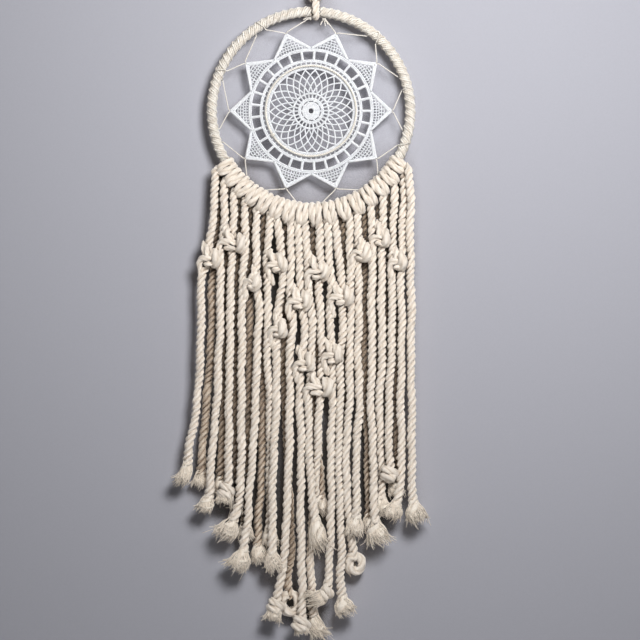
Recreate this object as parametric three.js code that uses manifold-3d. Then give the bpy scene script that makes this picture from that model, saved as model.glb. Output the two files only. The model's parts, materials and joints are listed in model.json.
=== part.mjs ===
// A macrame dream catcher: a cord-wrapped metal hoop with a crocheted doily laced into it,
// a fringe of folded cotton cords knotted round its lower edge, and a cord loop to hang it by.
// Millimetres, +Z up. The origin is where the hanging loop rests on its nail; the front faces -Y.

import * as THREE from 'three';
import { mergeVertices } from 'three/addons/utils/BufferGeometryUtils.js';
import Module from 'manifold-3d';

const wasm = await Module();
wasm.setup();

// ---------------------------------------------------------------- driving dimensions

const HOOP_RADIUS = 95;            // centreline of the wire ring
const WIRE_RADIUS = 2;
const WRAP_OUTER_RADIUS = 5;       // section of the cord wrapped round the wire
const WRAP_INNER_RADIUS = 2.6;
const HOOP_DROP = 160;             // nail down to the hoop's centre
const HANGER_OFFSET = 4.5;         // the hanger is tied this far right of the hoop's centre

const CORD_RADIUS = 3.2;           // fringe and hanger cord
const SIDES = 8;                   // sides of every cord section
const CORD_STEP = 19;              // about three cord diameters between sections

const KNOT_COUNT = 16;
const FIRST_KNOT_ANGLE = 213.7;    // degrees, counter-clockwise from +X
const NARROW_PITCH = 7.34;         // the left nine knots sit closer than the rest
const WIDE_PITCH = 7.91;
const NARROW_KNOTS = 8;
const LEG_SPREAD = 1.75;           // half the angle between a knot's two turns
const LEG_RADIUS = 2.65;
const LEG_ORBIT = 5.3;             // the turn's centreline round the wire
const EXIT_RADIUS = 104.4;         // where the fringe strands leave the knots
const EXIT_SPREAD = 1.83;          // half the angle between a knot's two strands
const LEAD_LENGTH = 5;             // each strand first runs straight out from the hoop

const WRAP_END_GAP = 0.4;          // degrees
const HANGER_ANGLE = 87.3;         // where the hanger's turn sits on the hoop
const HANGER_HALF_ANGLE = 2.6;     // room that it takes in the wrap

const DOILY_THICKNESS = 1.4;
const DOILY_POINTS = 10;
const DOILY_TIP_RADIUS = 77.5;
const DOILY_VALLEY_RADIUS = 59.5;
const DOILY_CENTRE_HOLE = 2.75;
const LADDER_HOLES = 29;
const LADDER_INNER = 49.2;
const LADDER_OUTER = 57;
const LADDER_FILL = 0.76;          // share of each ladder pitch that is open
const DOILY_CORD_RING_RADIUS = 42.7;
const DOILY_CORD_RADIUS = 1;

const STRING_RADIUS = 0.6;
const TIP_HALF_ANGLE = 1.2;        // half the width of the lacing's turn round a doily point
const GAP = 0.3;

const LOOP_RADIUS = 13;            // bend of the hanging loop over the nail
const TIE_ORBIT = 5.6;
const TIE_TURN_RADIUS = 3;
const TIE_KNOT_RADIUS = 7.5;
const TIE_KNOT_BOTTOM = 104;       // measured from the hoop's centre, as the next two are
const TIE_KNOT_TOP = 117;
const TIE_TURN_TOP = 102;

// Layers of the fringe, front to back.
const FRONT = -4;
const BACK = 6;

// ---------------------------------------------------------------- materials

const COLOURS = {
  cotton: 0xe6d8c3,
  wrap: 0xebe1d0,
  doily: 0xf3f4f7,
  string: 0xefe7d8,
  metal: 0xb4b2ad,
};

function material(name, roughness = 0.95, metalness = 0) {
  return new THREE.MeshStandardMaterial({ color: COLOURS[name], roughness, metalness });
}

// ---------------------------------------------------------------- helpers

const radians = THREE.MathUtils.degToRad;

// A point in the hoop's plane, by radius and angle round the hoop's centre.
function hoopPoint(radius, degrees, y = 0) {
  return new THREE.Vector3(radius * Math.cos(radians(degrees)), y, radius * Math.sin(radians(degrees)));
}

// A route through given stations, with a section at each one.
class StationPath extends THREE.Curve {
  constructor(stations) {
    super();
    this.stations = stations;
  }

  getPointAt(u) {
    const position = u * (this.stations.length - 1);
    const index = Math.min(Math.floor(position), this.stations.length - 2);
    return this.stations[index].clone().lerp(this.stations[index + 1], position - index);
  }

  getPoint(t) {
    return this.getPointAt(t);
  }

  getTangentAt(u) {
    const index = Math.round(u * (this.stations.length - 1));
    const before = this.stations[Math.max(index - 1, 0)];
    const after = this.stations[Math.min(index + 1, this.stations.length - 1)];
    return after.clone().sub(before).normalize();
  }
}

function circleShape(radius, holeRadius = 0) {
  const shape = new THREE.Shape().absarc(0, 0, radius, 0, 2 * Math.PI);
  if (holeRadius > 0) {
    shape.holes.push(new THREE.Path().absarc(0, 0, holeRadius, 0, 2 * Math.PI, true));
  }
  return shape;
}

// A closed solid swept along stations, one section at each.
function sweep(stations, radius, holeRadius = 0) {
  return new THREE.ExtrudeGeometry(circleShape(radius, holeRadius), {
    steps: stations.length - 1,
    curveSegments: SIDES / 2,
    bevelEnabled: false,
    extrudePath: new StationPath(stations),
  });
}

function smoothStations(points, step) {
  const curve = new THREE.CatmullRomCurve3(points, false, 'centripetal');
  return curve.getSpacedPoints(Math.ceil(curve.getLength() / step));
}

function toSolid(geometry) {
  const bare = geometry.clone();
  bare.deleteAttribute('normal');
  bare.deleteAttribute('uv');
  const merged = mergeVertices(bare, 1e-4);
  return new wasm.Manifold(new wasm.Mesh({
    numProp: 3,
    vertProperties: merged.attributes.position.array,
    triVerts: new Uint32Array(merged.index.array),
  }));
}

function toGeometry(solid) {
  const mesh = solid.getMesh();
  const geometry = new THREE.BufferGeometry();
  geometry.setAttribute('position', new THREE.BufferAttribute(mesh.vertProperties, 3));
  geometry.setIndex(new THREE.BufferAttribute(mesh.triVerts, 1));
  geometry.computeVertexNormals();
  return geometry;
}

function join(geometries) {
  return toGeometry(geometries.map(toSolid).reduce((whole, solid) => whole.add(solid)));
}

function knotAngle(index) {
  const wide = Math.max(index - NARROW_KNOTS, 0);
  const narrow = Math.min(index, NARROW_KNOTS);
  return FIRST_KNOT_ANGLE + narrow * NARROW_PITCH + wide * WIDE_PITCH;
}

// A cord turn round the wire, at an angle round the hoop.
function turnRoundWire(degrees, orbit, radius) {
  const turn = new THREE.TorusGeometry(orbit, radius, 6, 10);
  return placeRadially(turn, degrees, hoopPoint(HOOP_RADIUS, degrees));
}

// Turns a shape whose axis is Z so that its axis lies along the hoop, then moves it there.
function placeRadially(geometry, degrees, centre) {
  const outward = hoopPoint(1, degrees);
  const across = new THREE.Vector3(0, 1, 0);
  const along = new THREE.Vector3().crossVectors(outward, across);
  const turn = new THREE.Matrix4().makeBasis(outward, across, along);
  geometry.applyMatrix4(turn);
  return geometry.translate(centre.x, centre.y, centre.z);
}

// ---------------------------------------------------------------- hoop

function hoopRing() {
  return new THREE.TorusGeometry(HOOP_RADIUS, WIRE_RADIUS, 6, 60).rotateX(Math.PI / 2);
}

function wrapSleeve(fromDegrees, toDegrees) {
  const steps = Math.ceil((toDegrees - fromDegrees) / 6);
  const stations = [];
  for (let i = 0; i <= steps; i += 1) {
    stations.push(hoopPoint(HOOP_RADIUS, fromDegrees + (toDegrees - fromDegrees) * i / steps));
  }
  return sweep(stations, WRAP_OUTER_RADIUS, WRAP_INNER_RADIUS);
}

// ---------------------------------------------------------------- doily and its lacing

function starOutline() {
  const shape = new THREE.Shape();
  for (let i = 0; i < DOILY_POINTS; i += 1) {
    const tipAngle = radians(360 * i / DOILY_POINTS);
    const valleyAngle = radians(360 * (i + 0.5) / DOILY_POINTS);
    const tip = [DOILY_TIP_RADIUS * Math.cos(tipAngle), DOILY_TIP_RADIUS * Math.sin(tipAngle)];
    if (i === 0) {
      shape.moveTo(...tip);
    } else {
      shape.lineTo(...tip);
    }
    shape.lineTo(DOILY_VALLEY_RADIUS * Math.cos(valleyAngle), DOILY_VALLEY_RADIUS * Math.sin(valleyAngle));
  }
  shape.closePath();
  return shape;
}

function ladderHole(index) {
  const half = Math.PI * LADDER_FILL / LADDER_HOLES;
  const middle = 2 * Math.PI * (index + 0.5) / LADDER_HOLES;
  const hole = new THREE.Path();
  const corners = [
    [LADDER_INNER, middle - half],
    [LADDER_INNER, middle + half],
    [LADDER_OUTER, middle + half],
    [LADDER_OUTER, middle - half],
  ];
  hole.setFromPoints(corners.map(([radius, angle]) => (
    new THREE.Vector2(radius * Math.cos(angle), radius * Math.sin(angle)))));
  hole.closePath();
  return hole;
}

function doily() {
  const shape = starOutline();
  shape.holes.push(new THREE.Path().absarc(0, 0, DOILY_CENTRE_HOLE, 0, 2 * Math.PI, true));
  for (let i = 0; i < LADDER_HOLES; i += 1) {
    shape.holes.push(ladderHole(i));
  }
  const geometry = new THREE.ExtrudeGeometry(shape, {
    depth: DOILY_THICKNESS,
    curveSegments: 6,
    bevelEnabled: false,
  });
  geometry.rotateX(Math.PI / 2);
  return geometry.translate(0, DOILY_THICKNESS / 2, 0);
}

function doilyCordRing() {
  const ring = new THREE.TorusGeometry(DOILY_CORD_RING_RADIUS, DOILY_CORD_RADIUS, 5, 36);
  ring.rotateX(Math.PI / 2);
  return ring.translate(0, -DOILY_THICKNESS / 2 - GAP - DOILY_CORD_RADIUS, 0);
}

// Where the lacing meets the hoop on each side of a doily point, in degrees from the point.
const LACING_SPREAD = [
  [-11.7, 13], [-14.7, 10.4], [-18.7, 8.9], [-16.8, 11.3], [-18.4, 10.8],
  [-19, 11.2], [-16.8, 10.8], [-13.7, 9.7], [-11.8, 14], [-8, 14.7],
];

// The lacing runs zigzag between the hoop's inner side and the doily's tips, starting and
// ending beside the hanger at the top.
function lacingString() {
  const tipRadius = DOILY_TIP_RADIUS + GAP + 2 * STRING_RADIUS;
  const wrapReach = HOOP_RADIUS - WRAP_OUTER_RADIUS - GAP - STRING_RADIUS;
  const knotReach = HOOP_RADIUS - LEG_ORBIT - LEG_RADIUS - GAP - STRING_RADIUS;
  const margin = 5;
  const atHoop = (angle) => {
    const turned = angle % 360;
    const overKnots = turned > FIRST_KNOT_ANGLE - margin && turned < knotAngle(KNOT_COUNT - 1) + margin;
    return hoopPoint(overKnots ? knotReach : wrapReach, angle);
  };
  const points = [];
  for (let step = 0; step < DOILY_POINTS; step += 1) {
    const index = (step + 3) % DOILY_POINTS;
    const tip = (step + 3) * 360 / DOILY_POINTS;
    const [left, right] = LACING_SPREAD[index];
    points.push(
      atHoop(tip + left),
      hoopPoint(tipRadius, tip - TIP_HALF_ANGLE),
      hoopPoint(tipRadius, tip + TIP_HALF_ANGLE),
      atHoop(tip + right),
    );
  }
  return sweep(roundedCorners(points), STRING_RADIUS);
}

// Puts extra stations close to every corner, so that the section keeps its size round it.
function roundedCorners(points) {
  const nearCorner = 1.2;
  const stations = [points[0]];
  for (let i = 1; i < points.length - 1; i += 1) {
    const back = points[i - 1].clone().sub(points[i]);
    const ahead = points[i + 1].clone().sub(points[i]);
    const reach = Math.min(nearCorner, back.length() / 3, ahead.length() / 3);
    stations.push(points[i].clone().addScaledVector(back.normalize(), reach));
    stations.push(points[i].clone().addScaledVector(ahead.normalize(), reach));
  }
  stations.push(points[points.length - 1]);
  return stations;
}

// ---------------------------------------------------------------- hanger

// The hanger's turn round the wire and the overhand knot above it.
function hangingTie() {
  const turn = turnRoundWire(HANGER_ANGLE, TIE_ORBIT, TIE_TURN_RADIUS);
  const knotProfile = [
    [0, TIE_TURN_TOP - 2],
    [CORD_RADIUS, TIE_TURN_TOP - 1],
    [CORD_RADIUS, TIE_KNOT_BOTTOM],
    [TIE_KNOT_RADIUS, TIE_KNOT_BOTTOM + 4],
    [TIE_KNOT_RADIUS, TIE_KNOT_TOP - 4],
    [CORD_RADIUS * 2, TIE_KNOT_TOP],
    [0, TIE_KNOT_TOP],
  ];
  const knot = new THREE.LatheGeometry(knotProfile.map(([r, z]) => new THREE.Vector2(r, z)), 12);
  knot.rotateX(Math.PI / 2);
  knot.translate(HANGER_OFFSET, 0, 0);
  return join([turn, knot]);
}

// The loop over the nail: up one side, round the nail and down the other.
function hangingLoop() {
  const bottom = TIE_KNOT_TOP + GAP + 0.1;
  const top = HOOP_DROP + CORD_RADIUS;
  const centre = top - LOOP_RADIUS;
  const halfGap = CORD_RADIUS + 0.2;
  const side = [
    [halfGap, bottom],
    [halfGap, bottom + 8],
    [LOOP_RADIUS * 0.68, bottom + 18],
    [LOOP_RADIUS * 0.97, centre - 5],
  ];
  const arc = [];
  for (let degrees = 10; degrees < 90; degrees += 26) {
    arc.push([LOOP_RADIUS * Math.cos(radians(degrees)), centre + LOOP_RADIUS * Math.sin(radians(degrees))]);
  }
  const right = [...side, ...arc];
  const left = right.map(([x, z]) => [-x, z]);
  const outline = [...left, [0, top], ...right.reverse()];
  const points = outline.map(([x, z]) => new THREE.Vector3(HANGER_OFFSET + x, 0, z));
  return sweep(smoothStations(points, 7), CORD_RADIUS);
}

// ---------------------------------------------------------------- fringe

// A lark's head knot: two turns round the wire, drawn together by the bight across their front.
function larksHead(degrees) {
  const bightAngle = radians(40);
  const bightRadius = HOOP_RADIUS + LEG_ORBIT * Math.sin(bightAngle);
  const bightDepth = -LEG_ORBIT * Math.cos(bightAngle);
  const bight = new THREE.CylinderGeometry(2.2, 2.2, 6, 6).rotateX(Math.PI / 2);
  return join([
    turnRoundWire(degrees - LEG_SPREAD, LEG_ORBIT, LEG_RADIUS),
    turnRoundWire(degrees + LEG_SPREAD, LEG_ORBIT, LEG_RADIUS),
    placeRadially(bight, degrees, hoopPoint(bightRadius, degrees, bightDepth)),
  ]);
}

// Each strand's route below its knot, from the hoop's centre: [x, y, z], left to right.
const STRAND_ROUTES = [
  [[-92.5, FRONT, -92], [-96.5, FRONT, -124], [-97.5, FRONT, -140], [-104, FRONT, -156], [-105, FRONT, -190],
    [-105.7, FRONT, -229], [-108.9, FRONT, -277], [-113.2, FRONT, -305], [-117, FRONT, -325],
    [-118.5, FRONT, -351]],
  [[-88.5, BACK, -106], [-91, BACK, -130], [-94.5, BACK, -162], [-95.3, BACK, -202], [-96.2, BACK, -229],
    [-100.1, BACK, -277], [-104.1, BACK, -324], [-105.5, BACK, -348], [-105.5, BACK, -360]],
  [[-82.5, FRONT, -100], [-84.5, FRONT, -122], [-86.6, FRONT, -142], [-86.6, FRONT, -202],
    [-88.1, FRONT, -229], [-89.8, FRONT, -277], [-94.5, FRONT, -324], [-97, FRONT, -363],
    [-100, FRONT, -383]],
  [[-78, BACK, -106], [-80, BACK, -140], [-82.5, BACK, -190], [-82.6, BACK, -229], [-82.6, BACK, -277],
    [-85.7, BACK, -324], [-86.4, BACK, -353], [-86.4, BACK, -366]],
  [[-74, FRONT, -106], [-75.4, FRONT, -136], [-77, FRONT, -171], [-77.5, FRONT, -229], [-78.6, FRONT, -277],
    [-78.6, FRONT, -324], [-79.7, FRONT, -358], [-83, FRONT, -377]],
  [[-69, BACK, -110], [-71, BACK, -150], [-72, BACK, -229], [-73, BACK, -277], [-72, BACK, -324],
    [-70.5, BACK, -353], [-71.5, BACK, -383]],
  [[-63, FRONT, -110], [-63.4, FRONT, -141], [-65.4, FRONT, -162], [-66.3, FRONT, -229], [-66.6, FRONT, -277],
    [-66.6, FRONT, -324], [-67.3, FRONT, -353], [-70.1, FRONT, -377], [-77, FRONT, -404]],
  [[-57, BACK, -115], [-58.5, BACK, -150], [-59.4, BACK, -229], [-60.3, BACK, -277], [-61.5, BACK, -324],
    [-62.5, BACK, -372], [-64, BACK, -410]],
  [[-52.2, FRONT, -112], [-52.2, FRONT, -135], [-52.4, FRONT, -162], [-49.6, FRONT, -186],
    [-51.5, FRONT, -229], [-53.1, FRONT, -277], [-55.5, FRONT, -324], [-58.7, FRONT, -363],
    [-60.6, FRONT, -391], [-63.4, FRONT, -413], [-64, FRONT, -434]],
  [[-45, BACK, -120], [-44.5, BACK, -160], [-46.7, BACK, -229], [-46.5, BACK, -277], [-46.9, BACK, -324],
    [-48.1, BACK, -363], [-51, BACK, -391], [-50.5, BACK, -430]],
  [[-40, FRONT, -118], [-42.7, FRONT, -150], [-41.1, FRONT, -181], [-41.9, FRONT, -229], [-39.6, -1, -277],
    [-39.4, 3, -324], [-39.5, BACK, -372], [-39.5, BACK, -415]],
  [[-29.5, FRONT, -125], [-27.3, FRONT, -150], [-27.7, FRONT, -169], [-31.6, FRONT, -192], [-31, FRONT, -208],
    [-33.1, FRONT, -229], [-33.1, FRONT, -277], [-35.5, FRONT, -324], [-37.1, FRONT, -372],
    [-36.7, FRONT, -401], [-38.6, FRONT, -436]],
  [[-24, BACK, -130], [-23, BACK, -170], [-26, BACK, -229], [-25, BACK, -277], [-22.5, BACK, -324],
    [-21, BACK, -372], [-18.8, BACK, -420], [-22, BACK, -444], [-21.3, BACK, -480]],
  [[-19, FRONT, -138], [-20.2, FRONT, -169], [-17.4, FRONT, -197], [-19.6, FRONT, -226], [-20.4, FRONT, -253],
    [-20.4, FRONT, -277], [-21.1, FRONT, -324], [-22.8, FRONT, -372], [-25.2, FRONT, -420],
    [-28.5, FRONT, -444], [-36, FRONT, -487]],
  [[-10.8, FRONT, -143], [-10.6, FRONT, -167], [-8.6, FRONT, -184], [-6.4, FRONT, -203], [-6.6, FRONT, -218],
    [-8.4, FRONT, -237], [-10.8, FRONT, -254], [-10.8, FRONT, -277], [-9.2, FRONT, -324],
    [-10, FRONT, -372], [-9.2, FRONT, -420], [-8.4, FRONT, -468], [-10, FRONT, -504]],
  [[-3.4, FRONT, -143], [-3.2, FRONT, -162], [-0.6, FRONT, -184], [1, FRONT, -203], [0.8, FRONT, -228],
    [0, FRONT, -247], [-1.8, FRONT, -268], [-1.8, FRONT, -324], [0.4, FRONT, -363], [3, FRONT, -382],
    [7, FRONT, -404]],
  [[3, BACK, -140], [4, BACK, -229], [5, BACK, -277], [7, 8, -324], [8.5, 9.5, -350], [9, 9.5, -384]],
  [[8.8, FRONT, -137], [7.6, FRONT, -166], [9.1, FRONT, -203], [10.5, FRONT, -229], [9.2, FRONT, -250],
    [8, FRONT, -277], [6.4, FRONT, -318], [4.4, 2.4, -350], [3, BACK, -378], [-0.5, BACK, -420],
    [-0.5, BACK, -444], [1.6, BACK, -468], [3, BACK, -497]],
  [[17.3, FRONT, -140], [19.3, FRONT, -165], [17.9, FRONT, -203], [20.2, FRONT, -226], [19.8, FRONT, -242],
    [20.8, FRONT, -277], [19, FRONT, -324], [19.5, FRONT, -372], [17.9, FRONT, -420], [16.9, FRONT, -444],
    [12, FRONT, -474]],
  [[27, FRONT, -140], [29.1, FRONT, -167], [30.4, FRONT, -203], [28.8, FRONT, -226], [27.4, FRONT, -246],
    [28, FRONT, -277], [26.2, FRONT, -324], [27.5, FRONT, -372], [29.1, FRONT, -420], [28.2, FRONT, -444],
    [30.5, FRONT, -479]],
  [[32, BACK, -140], [34, BACK, -190], [33.2, BACK, -229], [33, BACK, -277], [33, BACK, -324],
    [34, 7, -372], [34, 7, -385]],
  [[37.4, FRONT, -140], [38.2, FRONT, -203], [36.8, FRONT, -229], [37, FRONT, -277], [33.4, FRONT, -324],
    [34.6, FRONT, -372], [37.5, 0, -400], [40.9, 3, -424], [41.5, 4, -443]],
  [[44.9, FRONT, -140], [45.6, FRONT, -203], [44.5, FRONT, -229], [46.3, FRONT, -277], [43.4, FRONT, -324],
    [43.4, FRONT, -372], [43.7, FRONT, -402]],
  [[51, BACK, -140], [51.4, BACK, -202], [50.4, BACK, -229], [53, BACK, -277], [54.5, BACK, -324],
    [55.5, BACK, -372], [57, BACK, -401]],
  [[58.4, FRONT, -130], [57.8, FRONT, -202], [58.6, FRONT, -229], [56.9, FRONT, -277], [59.3, FRONT, -324],
    [60, FRONT, -372], [62.5, FRONT, -406]],
  [[63.5, BACK, -140], [62.9, BACK, -229], [62.5, 8, -277], [63.2, 9, -324], [64, 9, -382]],
  [[67.8, FRONT, -130], [67.4, FRONT, -202], [68.1, FRONT, -229], [65.4, -3, -277], [66.4, 0, -324],
    [67.2, 1, -353], [68, 1, -384]],
  [[73.5, BACK, -140], [72.4, BACK, -229], [71.4, BACK, -277], [72, BACK, -324], [72.5, BACK, -353]],
  [[77.6, FRONT, -130], [77.2, FRONT, -202], [76.9, FRONT, -229], [74.5, FRONT, -277], [74.5, FRONT, -324],
    [75.5, FRONT, -361]],
  [[83, BACK, -110], [82.5, BACK, -160], [82, BACK, -229], [81, BACK, -277], [80.5, BACK, -324],
    [80.5, BACK, -367]],
  [[87.8, -2, -100], [87, -3.4, -125], [85.8, FRONT, -162], [86.5, FRONT, -202], [86.5, FRONT, -229],
    [85.6, FRONT, -277], [86.5, FRONT, -324], [85.8, FRONT, -353], [82.2, FRONT, -372], [80.6, FRONT, -389]],
  [[95, -6.8, -80], [94.6, -5, -109], [95, FRONT, -150], [96.1, FRONT, -202], [95.2, FRONT, -229],
    [96.1, FRONT, -277], [96.1, FRONT, -324], [96.4, FRONT, -353], [98.6, FRONT, -388]],
];

// The three strands furthest right leave their knots one in front of the other.
const EXIT_DEPTHS = { 29: 6, 30: -0.4, 31: -7.2 };

function strand(index) {
  const side = index % 2 === 0 ? -1 : 1;
  const angle = knotAngle(Math.floor(index / 2)) + side * EXIT_SPREAD;
  const route = STRAND_ROUTES[index].map((point) => new THREE.Vector3(...point));
  const depth = EXIT_DEPTHS[index] ?? (route[0].y < 0 ? -3.4 : 3.4);
  const exit = hoopPoint(EXIT_RADIUS, angle, depth);
  const lead = hoopPoint(EXIT_RADIUS + LEAD_LENGTH, angle, depth);
  return sweep(smoothStations([exit, lead, ...route], CORD_STEP), CORD_RADIUS);
}

// ---------------------------------------------------------------- assembly

const dreamCatcher = new THREE.Group();
dreamCatcher.position.set(-HANGER_OFFSET, 0, -HOOP_DROP);

function addPart(name, geometry, finish) {
  const mesh = new THREE.Mesh(geometry, finish);
  mesh.name = name;
  dreamCatcher.add(mesh);
}

const knotHalfAngle = LEG_SPREAD + THREE.MathUtils.radToDeg(LEG_RADIUS / (HOOP_RADIUS - LEG_ORBIT));
const wrapLeftEnd = FIRST_KNOT_ANGLE - knotHalfAngle - WRAP_END_GAP;
const wrapRightStart = knotAngle(KNOT_COUNT - 1) + knotHalfAngle + WRAP_END_GAP;
const wrapRightEnd = 360 + HANGER_ANGLE - HANGER_HALF_ANGLE;

addPart('hoop_ring', hoopRing(), material('metal', 0.4, 0.9));
addPart('hoop_wrap_left', wrapSleeve(HANGER_ANGLE + HANGER_HALF_ANGLE, wrapLeftEnd), material('wrap'));
addPart('hoop_wrap_right', wrapSleeve(wrapRightStart, wrapRightEnd), material('wrap'));
addPart('doily', doily(), material('doily'));
addPart('doily_cord_ring', doilyCordRing(), material('string'));
addPart('lacing_string', lacingString(), material('string'));
addPart('hanging_tie', hangingTie(), material('cotton'));
addPart('hanging_loop', hangingLoop(), material('cotton'));
for (let i = 0; i < KNOT_COUNT; i += 1) {
  const number = String(i + 1).padStart(2, '0');
  addPart(`fringe_knot_${number}`, larksHead(knotAngle(i)), material('cotton'));
  addPart(`fringe_strand_${number}_left`, strand(2 * i), material('cotton'));
  addPart(`fringe_strand_${number}_right`, strand(2 * i + 1), material('cotton'));
}

export default dreamCatcher;
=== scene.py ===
"""A macrame dream catcher: the visual model, in metres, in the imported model's frame.

The origin is where the hanging loop rests on its nail, +Z is up and the front faces -Y.
Most pieces are described round the hoop's centre, by radius and angle in the hoop's plane.
"""

import json
import math

import bpy
import numpy as np
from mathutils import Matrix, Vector

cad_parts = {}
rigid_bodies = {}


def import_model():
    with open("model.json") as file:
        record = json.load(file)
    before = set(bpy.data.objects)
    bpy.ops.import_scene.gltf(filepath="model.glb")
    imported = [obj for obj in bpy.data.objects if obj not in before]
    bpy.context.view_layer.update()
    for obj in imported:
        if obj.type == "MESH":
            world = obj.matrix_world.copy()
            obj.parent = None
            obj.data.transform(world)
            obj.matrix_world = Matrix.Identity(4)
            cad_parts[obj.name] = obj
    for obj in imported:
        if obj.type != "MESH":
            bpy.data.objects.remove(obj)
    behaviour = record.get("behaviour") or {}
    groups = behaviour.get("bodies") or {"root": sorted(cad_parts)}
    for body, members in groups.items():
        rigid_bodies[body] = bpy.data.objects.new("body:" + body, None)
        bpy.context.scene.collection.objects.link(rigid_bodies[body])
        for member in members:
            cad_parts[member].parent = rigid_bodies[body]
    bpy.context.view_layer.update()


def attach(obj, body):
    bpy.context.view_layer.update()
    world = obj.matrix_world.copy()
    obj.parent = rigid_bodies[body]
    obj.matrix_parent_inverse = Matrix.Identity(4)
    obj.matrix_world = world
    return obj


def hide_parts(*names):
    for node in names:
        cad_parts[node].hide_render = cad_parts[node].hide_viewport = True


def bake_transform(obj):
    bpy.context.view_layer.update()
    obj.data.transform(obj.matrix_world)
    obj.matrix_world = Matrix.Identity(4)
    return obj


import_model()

# ---- dimensions

HOOP_RADIUS = 0.095  # centreline of the wire
HOOP_CENTRE = np.array([-0.0045, 0.0, -0.16])
WIRE_RADIUS = 0.002
HANGER_OFFSET = 0.0045
HANGER_ANGLE = 87.3
HANGER_HALF_ANGLE = 2.6

KNOT_COUNT = 16
FIRST_KNOT_ANGLE = 213.7
NARROW_PITCH = 7.34
WIDE_PITCH = 7.91
NARROW_KNOTS = 8
LEG_SPREAD = 1.84
LEG_RADIUS = 0.0036
KNOT_HALF_ANGLE = 3.4

CORD_RADIUS = 0.0042  # over the tops of the three plies
CORD_LAY = 0.0195
PLY_SWELLING = 0.08
STRAND_STEP = 0.0015
END_SWELLING = 1.22  # how much wider a strand is where it starts to open
KNOT_CORD = 0.0032  # a knot draws the cord in
KNOT_LAY = 0.036
EXIT_RADIUS = 0.1044
EXIT_SPREAD = 1.83
LEAD_LENGTH = 0.002
OPENING_LENGTH = 0.022  # how far above its end a strand starts to open
DRIFT = 0.0004  # how far a strand wanders off its route
DRIFT_WAVELENGTH = 0.045
DRIFT_FADE = 0.03
FRAY_LENGTH = 0.012  # the end of each strand that is frayed or knotted, below its plain cord

# Layers of the fringe, front to back.
FRONT = -0.004
BACK = 0.006

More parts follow.
